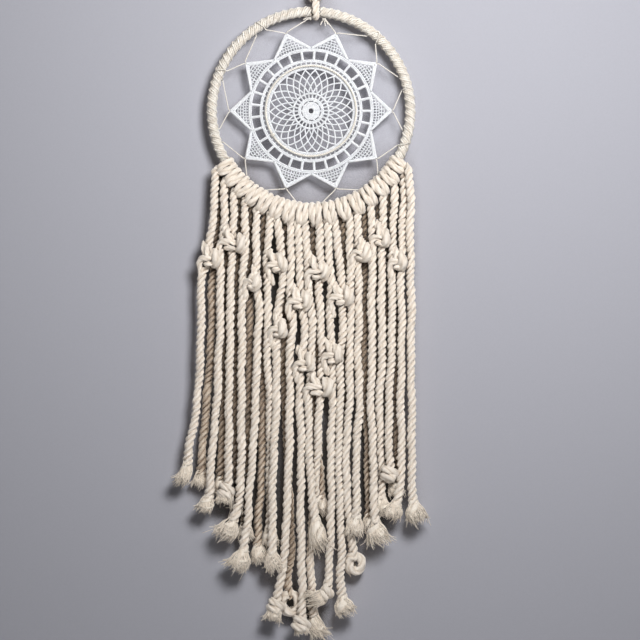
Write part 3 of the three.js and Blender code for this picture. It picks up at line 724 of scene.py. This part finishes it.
# Each ties neighbouring strands: left and right edge, and height, from the hoop's centre.
MID_KNOTS = [
    (-0.0855, -0.066, -0.1254),
    (-0.105, -0.09, -0.1407),
    (-0.041, -0.027, -0.1455),
    (-0.06, -0.051, -0.1627),
    (-0.02, -0.003, -0.1809),
    (-0.037, -0.026, -0.2077),
    (-0.014, 0.0, -0.2402),
    (-0.003, 0.017, -0.2632),
    (0.013, 0.027, -0.2325),
    (0.02, 0.037, -0.177),
    (-0.002, 0.014, -0.1531),
    (0.042, 0.054, -0.1349),
    (0.06, 0.072, -0.1206),
    (0.077, 0.088, -0.1435),
]


def mid_knot(left, right, height):
    """An overhand knot: a round turn on the right, and two runs from it to an elbow on the left."""
    middle = (left + right) / 2
    turn = [
        (right - 0.003, -0.001, 0.0052), (right - 0.0024, -0.0072, 0.005),
        (right - 0.0012, -0.0118, 0.0026), (right - 0.0008, -0.013, -0.0008),
        (right - 0.0012, -0.0114, -0.004), (right - 0.0026, -0.007, -0.0058),
        (right - 0.0032, -0.001, -0.0058),
    ]
    elbow = [
        (right - 0.003, -0.008, -0.0006), (middle + 0.001, -0.0114, -0.0006),
        (left + 0.0042, -0.0116, -0.0004), (left + 0.0006, -0.0104, -0.0008),
        (left - 0.0016, -0.0086, -0.0036), (left - 0.0018, -0.0068, -0.0086),
        (left - 0.001, -0.0052, -0.014), (left, -0.0036, -0.02),
    ]
    low_run = [
        (right - 0.003, -0.007, -0.0056), (middle + 0.0012, -0.0106, -0.0058),
        (middle - 0.0026, -0.0104, -0.006), (left + 0.0046, -0.008, -0.006),
        (left + 0.0036, -0.003, -0.0054),
    ]
    over = [
        (left + 0.003, -0.002, 0.016), (left + 0.0042, -0.006, 0.0105),
        (left + 0.0056, -0.0092, 0.006), (middle - 0.001, -0.0104, 0.0026),
        (middle + 0.001, -0.008, -0.001),
    ]
    back_run = [
        (right - 0.002, 0.002, 0.0036), (right - 0.0036, 0.0088, 0.0012), (middle, 0.0104, -0.001),
        (left + 0.004, 0.008, -0.0028), (left + 0.0024, 0.002, -0.004),
    ]
    back_turn = [
        (middle + 0.001, 0.002, 0.0084), (middle + 0.0006, 0.0088, 0.006),
        (middle - 0.0002, 0.0122, 0.0), (middle - 0.001, 0.009, -0.0058),
        (middle - 0.0014, 0.002, -0.0086),
    ]
    parts = [(turn, 1.5), (elbow, 1.0), (low_run, 0.9), (over, 1.2), (back_run, 1.0), (back_turn, 1.0)]
    tubes = Tubes()
    lean = rng.normal(0, 0.12)
    for points, girth in parts:
        points = [(middle + (x - middle) * math.cos(lean) - z * math.sin(lean), y,
                   height + z * math.cos(lean) + (x - middle) * math.sin(lean))
                  for x, y, z in points]
        line = smooth_line([HOOP_CENTRE + point for point in points], 0.0012)
        below = np.clip((HOOP_CENTRE[2] + height - 0.006 - line[:, 2]) / 0.012, 0, 1)
        tubes.add(line, girth * KNOT_CORD, SOFT_THREE_PLY, KNOT_LAY, rng.random() * 6,
                  uneven(len(line), 0.04) * (1 + 0.2 * below) * tapered(len(line), 5), 1.5 * PLY_SWELLING)
    return tubes


for number, (left, right, height) in enumerate(MID_KNOTS, 1):
    knot = mid_knot(left, right, height).make(f"mid_knot_{number:02d}", cord_cotton, "cotton_cord")
    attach(knot, "fringe")

# ---- lark's head knots


def larks_head(degrees):
    """One cord over the wire twice, drawn together at the front below it."""
    side = [
        (0.099, 1.0, 0.0058), (0.0945, 1.0, 0.0064), (0.0915, 1.0, 0.0046), (0.0906, 1.0, 0.0),
        (0.0914, 1.0, -0.0044), (0.095, 1.0, -0.0062), (0.0995, 0.97, -0.007),
        (0.103, 0.84, -0.0072), (0.1056, 0.66, -0.0064), (0.1076, 0.5, -0.004), (0.1084, 0.44, 0.0),
    ]
    tubes = Tubes()
    shorter = 0.5 * math.cos(math.radians(degrees)) ** 2  # the knots at the sides hang closer in
    for way in (-1, 1):
        leg = [hoop_point(r - shorter * max(r - 0.099, 0), degrees + way * LEG_SPREAD * share, y)
               for r, share, y in side]
        drawn_cord(tubes, smooth_line(leg, 0.0012), LEG_RADIUS, 0.042, 0.05)
    return tubes


for index in range(KNOT_COUNT):
    number = f"{index + 1:02d}"
    knot = larks_head(knot_angle(index)).make(f"larks_head_{number}", cord_cotton, "cotton_cord")
    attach(knot, "catcher")
    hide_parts(f"fringe_knot_{number}")

# ---- hoop and wrap

TURN_ANGLE = 360 / 43  # one turn of a ply; the plies start side by side
PLY_RADIUS = 0.00138
PLY_ORBIT = 0.00335
HIGH_PLY = 0.00072  # how far every third ply stands out, so that the cord's lay shows
PLIES = 6


def wrap(from_degrees, to_degrees):
    """The cord's plies wound round the wire, lying side by side."""
    tubes = Tubes()
    count = round((to_degrees - from_degrees) / TURN_ANGLE * 20)
    degrees = np.linspace(from_degrees, to_degrees, count)
    for ply in range(PLIES):
        orbit = PLY_ORBIT + (HIGH_PLY if ply % 3 == 1 else 0)
        spin = -np.radians((degrees - from_degrees) / TURN_ANGLE * 360 + 360 / PLIES * ply)
        radius = HOOP_RADIUS + orbit * np.cos(spin)
        line = np.array([hoop_point(r, a, orbit * s)
                         for r, a, s in zip(radius, degrees, np.sin(spin))])
        tubes.add(line, PLY_RADIUS, ROUND, 0.012, 0, uneven(count, 0.03))
    return tubes


last_knot = knot_angle(KNOT_COUNT - 1)
for name, start, stop in (
    ("left", HANGER_ANGLE + HANGER_HALF_ANGLE, FIRST_KNOT_ANGLE - KNOT_HALF_ANGLE),
    ("right", last_knot + KNOT_HALF_ANGLE, 360 + HANGER_ANGLE - HANGER_HALF_ANGLE),
):
    piece = wrap(start, stop).make(f"wrap_{name}", wrap_cotton, "cotton_wrap")
    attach(piece, "catcher")
    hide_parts(f"hoop_wrap_{name}")

wire = Tubes()
wire.add(arc(HOOP_RADIUS, 0, 360, 0.0025), WIRE_RADIUS, outline(1, 16, 0))
wire = wire.make("hoop_wire", plated_wire, "hoop_metal")
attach(wire, "catcher")
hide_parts("hoop_ring")

# ---- hanger


def hanger_point(x, y, above):
    """A point by height above the hoop's centre, from the hanger's own centreline."""
    return HOOP_CENTRE + (HANGER_OFFSET + x, y, above)


def overhand_knot():
    """The cord doubled round the wire and tied above it in an overhand knot."""
    tubes = Tubes()
    turn = [(0, -0.003, 0.118), (0, -0.0034, 0.106), (0, -0.0046, 0.1005), (0, -0.006, 0.0953),
            (0, -0.004, 0.0914), (0, 0.0, 0.09), (0, 0.004, 0.0914), (0, 0.006, 0.0953),
            (0, 0.0046, 0.1005), (0, 0.0034, 0.106), (0, 0.003, 0.118)]
    line = smooth_line([hanger_point(*p) for p in turn], 0.0013)
    tubes.add(line, CORD_RADIUS * 0.88, THREE_PLY, CORD_LAY, 1.0)
    spin = np.linspace(0, 3.4 * math.pi, 60)
    rise = np.linspace(0.1075, 0.114, 60) + 0.0018 * np.sin(spin + 0.5)
    line = np.array([hanger_point(0.0052 * math.sin(s), -0.0048 * math.cos(s), z)
                     for s, z in zip(spin, rise)])
    tubes.add(line, CORD_RADIUS * 0.9, THREE_PLY, CORD_LAY, 2.0)
    return tubes


tie = overhand_knot().make("hanger_knot", cord_cotton, "cotton_cord")
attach(tie, "hanging_tie")
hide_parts("hanging_tie")

LOOP_SIDE = [(0.0034, 0.1155), (0.0034, 0.1254), (0.0088, 0.1354), (0.0126, 0.1452)]
LOOP_RADIUS = 0.013
LOOP_CENTRE = 0.1502


def loop_line():
    """Up one side, over the nail and down the other."""
    over = [(LOOP_RADIUS * math.cos(a), LOOP_CENTRE + LOOP_RADIUS * math.sin(a))
            for a in np.radians((10, 36, 62, 90, 118, 144, 170))]
    sides = LOOP_SIDE + over + [(-x, z) for x, z in reversed(LOOP_SIDE)]
    return smooth_line([hanger_point(x, 0, z) for x, z in sides], 0.0014)


line = loop_line()
tubes = Tubes()
tubes.add(line, CORD_RADIUS * 0.93, THREE_PLY, CORD_LAY, 0.5, uneven(len(line), 0.02))
loop = tubes.make("hanger_loop", cord_cotton, "cotton_cord")
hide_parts("hanging_loop")
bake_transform(loop)

# ---- doily

POINTS = 10
POINT_PITCH = 36
TIP_RADIUS = 0.0775
VALLEY_RADIUS = 0.0595
THREAD = 0.0006
STITCH = 0.0024
DOILY_RING_RADII = (0.0033, 0.0044, 0.0055, 0.0066, 0.0078, 0.0104, 0.0117, 0.0168, 0.0406, 0.0417,
                    0.0428, 0.0439, 0.0472, 0.0484, 0.0577)
BORDER_RADIUS = 0.0591
RING_STEP = 0.0004
LATTICE_THREADS = 26
LATTICE_THREAD = 0.00072
EYELET_ROWS = (0.06, 0.0625, 0.065, 0.0675, 0.07, 0.0725)
EYELET_WIDTH = 0.0025
CORD_RING_RADIUS = 0.0432
CORD_RING_LAY = 0.0045
CORD_RING_START = 212  # where the cord ring is knotted, in degrees


def chain(tubes, line, thread=THREAD):
    """Two threads twisted round each other along a line, as crochet chain stitches look."""
    length = length_of(line)
    turns = max(round(length / STITCH), 1)
    line = even_line(line, STITCH / 7)
    _, across, up = cross_directions(line)
    spin = np.linspace(0, 2 * math.pi * turns, len(line))
    for phase in (0, math.pi):
        offset = np.cos(spin + phase)[:, None] * across + np.sin(spin + phase)[:, None] * up
        tubes.add(line + offset * thread * 0.85, thread, outline(1, 5, 0))


def posts(tubes, count, inner, outer, offset=0.0, thread=THREAD):
    """Radial stitches, evenly spaced."""
    for i in range(count):
        angle = 360 * (i + offset) / count
        chain(tubes, np.array([hoop_point(inner, angle), hoop_point(outer, angle)]), thread)


def lattice(tubes):
    """Two families of spiral threads, crossing in rows of diamonds."""
    radii = np.array([0.0162, 0.0172, 0.0232, 0.0289, 0.0342, 0.0392, 0.0402])
    half = 180 / LATTICE_THREADS
    turned = np.array([-0.15, 0, 1, 2, 3, 4, 4.15]) * half
    dense = np.linspace(radii[0], radii[-1], 22)
    angles = np.interp(dense, radii, turned)
    for i in range(LATTICE_THREADS):
        for way in (-1, 1):
            line = np.array([hoop_point(r, 360 * i / LATTICE_THREADS + 1.2 + way * a, way * 0.0003)
                             for r, a in zip(dense, angles)])
            tubes.add(line, LATTICE_THREAD, ROUND)


def edge_angle(radius):
    """Half the angle that a doily point spans at a radius."""
    valley = VALLEY_RADIUS * np.array([math.cos(math.pi / POINTS), math.sin(math.pi / POINTS)])
    u = np.linspace(0, 1, 60)[:, None]
    edge = valley * (1 - u) + np.array([TIP_RADIUS, 0]) * u
    sizes = np.hypot(edge[:, 0], edge[:, 1])
    return math.degrees(np.interp(radius, sizes, np.arctan2(edge[:, 1], edge[:, 0])))


def doily_point(tubes, middle):
    """One triangular point: two solid edges, and rows of eyelets between them."""
    tip = hoop_point(TIP_RADIUS - 0.0008, middle)
    for way in (-1, 1):
        valley = hoop_point(VALLEY_RADIUS + 0.0006, middle + way * 17.4)
        inward = hoop_point(VALLEY_RADIUS + 0.0012, middle + way * 16.2)
        chain(tubes, np.array([valley, tip]), 0.0008)
        chain(tubes, np.array([inward, hoop_point(TIP_RADIUS - 0.0032, middle)]), 0.0007)
    for inner, outer in zip(EYELET_ROWS, EYELET_ROWS[1:]):
        reach = edge_angle(outer) - math.degrees(0.0014 / outer)
        tubes.add(arc(outer, middle - reach, middle + reach, 0.0012), 0.00058, FINE)
        count = max(round(2 * math.radians(reach) * outer / EYELET_WIDTH), 2)
        for angle in np.linspace(-reach, reach, count):
            ends = [hoop_point(inner, middle + angle), hoop_point(outer, middle + angle)]
            tubes.add(np.array(ends), 0.00055, FINE)


doily = Tubes()
for radius in DOILY_RING_RADII:
    chain(doily, arc(radius, 0, 360, RING_STEP))
posts(doily, 10, 0.008, 0.0103)
posts(doily, LATTICE_THREADS, 0.0116, 0.0164, 0.09, 0.0005)
posts(doily, 60, 0.0441, 0.047, 0.0, 0.00045)
posts(doily, 29, 0.0484, 0.0576, 0.0, 0.0008)
lattice(doily)
border = Tubes()
chain(border, arc(BORDER_RADIUS, 0, 360, RING_STEP))
for i in range(POINTS):
    doily_point(border, POINT_PITCH * i)
doily = doily.make("doily_lace", doily_thread, "doily_thread")
border = border.make("doily_points", doily_thread, "doily_thread")
for piece in (doily, border):
    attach(piece, "catcher")
    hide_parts("doily")

cord_ring = Tubes()
cord_ring.add(arc(CORD_RING_RADIUS, CORD_RING_START, CORD_RING_START + 360, 0.0007, -0.0022),
              0.00125, TWO_PLY, CORD_RING_LAY)
spin = np.linspace(0, 4 * math.pi, 40)
knot = np.array([hoop_point(CORD_RING_RADIUS + 0.0014 * math.cos(s), CORD_RING_START - 1 + a,
                            -0.0024 + 0.0014 * math.sin(s))
                 for s, a in zip(spin, np.linspace(0, 2.6, len(spin)))])
cord_ring.add(knot, 0.0009, TWO_PLY, CORD_RING_LAY)
cord_ring = cord_ring.make("doily_cord", string_cotton, "lacing_string")
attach(cord_ring, "catcher")
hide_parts("doily_cord_ring")

# ---- lacing

STRING_RADIUS = 0.00064
STRING_LAY = 0.0032
LACING_RADIUS = 0.0789
STRING_ON_HOOP = 0.0893
STRING_IN_POINT = 0.0768
TIE_RADIUS = 0.0884
TIE_TURN = 0.0012
# The two knots that tie the string off: the angle of each and how its loose tails lean, in degrees.
STRING_TIES = [(90.8, (-72, -98)), (82.0, (-38, 16, 48))]
# Where the lacing meets the hoop on each side of a doily point, in degrees from the point.
LACING_SPREAD = [
    (-11.7, 13.0), (-14.7, 10.4), (-18.7, 9.4), (-17.4, 11.3), (-18.4, 10.8),
    (-19.0, 11.2), (-16.8, 10.8), (-13.7, 9.7), (-11.8, 14.0), (-8.0, 14.7),
]


def lacing_line():
    """From the top, through each doily point in turn and round the hoop between them."""
    points = []
    for step in range(3, 3 + POINTS):
        tip = POINT_PITCH * step
        left, right = LACING_SPREAD[step % POINTS]
        points += [hoop_point(STRING_ON_HOOP, tip + left), hoop_point(LACING_RADIUS, tip - 1.0, -0.0006)]
        points += [hoop_point(STRING_IN_POINT, tip, 0.0012), hoop_point(LACING_RADIUS, tip + 1.0, -0.0006)]
        points.append(hoop_point(STRING_ON_HOOP, tip + right))
        following = POINT_PITCH * (step + 1) + LACING_SPREAD[(step + 1) % POINTS][0]
        if step < 2 + POINTS:
            over_knots = FIRST_KNOT_ANGLE - 4 < (tip + right) % 360 < last_knot + 4
            points += round_hoop(tip + right, following, over_knots)
    return points


def round_hoop(start, stop, behind):
    """The string's turn round the hoop between two angles; behind keeps it at the back."""
    front = 1 if behind else -1
    places = [(0.091, 0.0045), (0.095, 0.006), (0.099, 0.0046)]
    out = [(r, start + (stop - start) * i / 6, front * y) for i, (r, y) in enumerate(places)]
    back = [(r, stop - (stop - start) * i / 6, y) for i, (r, y) in enumerate(places)]
    return [hoop_point(*p) for p in out + back[::-1]]


def polyline(points, step, corner=0.0012):
    """A line through the points with its corners rounded a little."""
    points = [np.array(p) for p in points]
    dense = [points[0]]
    for before, here, after in zip(points, points[1:], points[2:]):
        back, ahead = before - here, after - here
        reach = min(corner, np.linalg.norm(back) / 3, np.linalg.norm(ahead) / 3)
        start = here + back / np.linalg.norm(back) * reach
        stop = here + ahead / np.linalg.norm(ahead) * reach
        for u in np.linspace(0, 1, 5):
            dense.append((1 - u) ** 2 * start + 2 * u * (1 - u) * here + u * u * stop)
    dense.append(points[-1])
    return even_line(np.array(dense), step)


lacing = Tubes()
lacing.add(polyline(lacing_line(), 0.0007), STRING_RADIUS, TWO_PLY, STRING_LAY)
for angle, tails in STRING_TIES:
    centre = hoop_point(TIE_RADIUS, angle, -TIE_TURN)
    spin = np.linspace(0, 4.5 * math.pi, 50)
    rise = np.linspace(TIE_TURN, -TIE_TURN, len(spin))
    turns = np.stack([TIE_TURN * np.cos(spin), TIE_TURN * np.sin(spin), rise], axis=1)
    lacing.add(centre + turns, STRING_RADIUS, TWO_PLY, STRING_LAY)
    for lean in tails:
        bend, tip = centre + tilted(lean, 0.003), centre + tilted(lean * 0.8, 0.0065)
        lacing.add(smooth_line([centre, bend, tip], 0.0006), STRING_RADIUS * 0.9, TWO_PLY, STRING_LAY)
lacing = lacing.make("lacing", string_cotton, "lacing_string")
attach(lacing, "catcher")
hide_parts("lacing_string")

# ---- stage and lights

WALL_Y = 0.019
FLOOR_Z = -1.05
FLOOR_GLOW = (0.5, 0.5, 0.53, 1)
FLOOR_COLOUR = (0.7, 0.7, 0.7, 1)
FLOOR_REACH = 3
WALL_COLOUR = (0.405, 0.405, 0.45, 1)
WALL_SHADE = (0.42, 0.39, 0.37, 1)
WALL_REACH = 0.9
WALL_TOP = 0.5
BEHIND_REACH = 0.35  # how far behind the wall a piece still makes it clear


def mixed(tree, factor, first, second, output):
    """Sends a mix of two shaders to an output."""
    mix = tree.nodes.new("ShaderNodeMixShader")
    for source, socket in zip((factor, first, second), mix.inputs):
        tree.links.new(source, socket)
    tree.links.new(mix.outputs[0], tree.nodes[output].inputs["Surface"])


def plane(name, corners, colour, one_sided=False):
    """A matt surface, plain unless one-sided. A one-sided one has painted shade where pieces in front
    close it in, and is clear from behind, and where something is behind it.
    """
    mesh = bpy.data.meshes.new(name)
    mesh.from_pydata(corners, [], [(0, 1, 2, 3)])
    obj = bpy.data.objects.new(name, mesh)
    nodes = Nodes(name)
    place = nodes.add("ShaderNodeTexCoord").outputs["Object"]
    grain = nodes.noise(place, 700.0, 3.0)
    colour = nodes.mix(nodes.math("MULTIPLY", grain, 0.08), colour, (0, 0, 0, 1))
    # A one-sided wall gets painted shade, in WALL_SHADE's hue, where pieces in front close it in.
    nodes.link(nodes.painted_hollow_shade(colour, WALL_SHADE, 0.44, 0.7, 0.03) if one_sided else colour, "Base Color")
    nodes.shader.inputs["Roughness"].default_value = 0.9
    if one_sided:
        backfacing = nodes.add("ShaderNodeNewGeometry").outputs["Backfacing"]
        empty = nodes.open_share(BEHIND_REACH, 0.9, 0.985, inside=True)
        clear = nodes.math("MAXIMUM", backfacing, nodes.math("SUBTRACT", 1.0, empty))
        mixed(nodes.tree, clear, nodes.shader.outputs[0],
              nodes.add("ShaderNodeBsdfTransparent").outputs[0], "Material Output")
    else:
        glow = nodes.add("ShaderNodeEmission", Color=FLOOR_GLOW)
        mixed(nodes.tree, nodes.add("ShaderNodeLightPath").outputs["Is Camera Ray"],
              nodes.shader.outputs[0], glow.outputs[0], "Material Output")
    mesh.materials.append(nodes.material)
    bpy.context.scene.collection.objects.link(obj)
    return obj


plane("floor", [(-FLOOR_REACH, -FLOOR_REACH, FLOOR_Z), (FLOOR_REACH, -FLOOR_REACH, FLOOR_Z),
                (FLOOR_REACH, FLOOR_REACH, FLOOR_Z), (-FLOOR_REACH, FLOOR_REACH, FLOOR_Z)], FLOOR_COLOUR)
wall = plane("wall", [(-WALL_REACH, WALL_Y, FLOOR_Z), (WALL_REACH, WALL_Y, FLOOR_Z),
                      (WALL_REACH, WALL_Y, WALL_TOP), (-WALL_REACH, WALL_Y, WALL_TOP)],
             WALL_COLOUR, one_sided=True)
wall.visible_shadow = False

NAIL_RADIUS = 0.0019
NAIL_HEAD_RADIUS = 0.0035
NAIL_HEAD_BACK = (0, -0.009, -NAIL_RADIUS)
NAIL_HEAD_FRONT = (0, -0.0102, -NAIL_RADIUS)
nail = Tubes()
nail.add(np.array([(0, WALL_Y, -0.0021), NAIL_HEAD_BACK]), NAIL_RADIUS, outline(1, 16, 0))
nail.add(np.array([NAIL_HEAD_BACK, NAIL_HEAD_FRONT]), NAIL_HEAD_RADIUS, outline(1, 20, 0))
nail = nail.make("nail", plated_wire, "hoop_metal")


def area_light(name, place, target, size, power, spread=180, lit=()):
    """A round lamp. Where lit is given, it lights those pieces only."""
    data = bpy.data.lights.new(name, "AREA")
    data.shape = "DISK"
    data.size = size
    data.energy = power
    data.spread = math.radians(spread)
    obj = bpy.data.objects.new(name, data)
    obj.location = place
    aim = Vector(target) - Vector(place)
    obj.rotation_euler = aim.to_track_quat("-Z", "Y").to_euler()
    obj.visible_camera = False
    bpy.context.scene.collection.objects.link(obj)
    if lit:
        obj.light_linking.receiver_collection = bpy.data.collections.new(name)
        for piece in lit:
            obj.light_linking.receiver_collection.objects.link(piece)


area_light("key", (0.27, -1.05, 0.14), (0.05, 0, 0.0), 0.4, 10.7, spread=140)
area_light("fill", (-1.1, -1.6, 0.0), (0, 0, -0.35), 1.2, 0.8)
area_light("back", (0.5, 1.6, 0.5), (0, 0, -0.3), 1.0, 26)
hanging_names = ("strand", "fray", "end_knot", "mid_knot")
hanging = [obj for obj in bpy.data.objects if obj.name.startswith(hanging_names)]
area_light("low", (-0.1, -0.6, -0.8), (0, 0, -0.58), 0.4, 0.62, lit=hanging)

AMBIENT_COLOUR = (0.9, 0.93, 1.0, 1)
AMBIENT_STRENGTH = 0.02
BACKDROP_COLOUR = (0.42, 0.42, 0.46, 1)
world = bpy.data.worlds.new("studio")
world.use_nodes = True
tree = world.node_tree
ambient = tree.nodes["Background"]
ambient.inputs["Color"].default_value = AMBIENT_COLOUR
ambient.inputs["Strength"].default_value = AMBIENT_STRENGTH
backdrop = tree.nodes.new("ShaderNodeBackground")
backdrop.inputs["Color"].default_value = BACKDROP_COLOUR
seen = tree.nodes.new("ShaderNodeLightPath")
mixed(tree, seen.outputs["Is Camera Ray"], ambient.outputs[0], backdrop.outputs[0], "World Output")
bpy.context.scene.world = world
bpy.context.scene.view_settings.view_transform = "Standard"
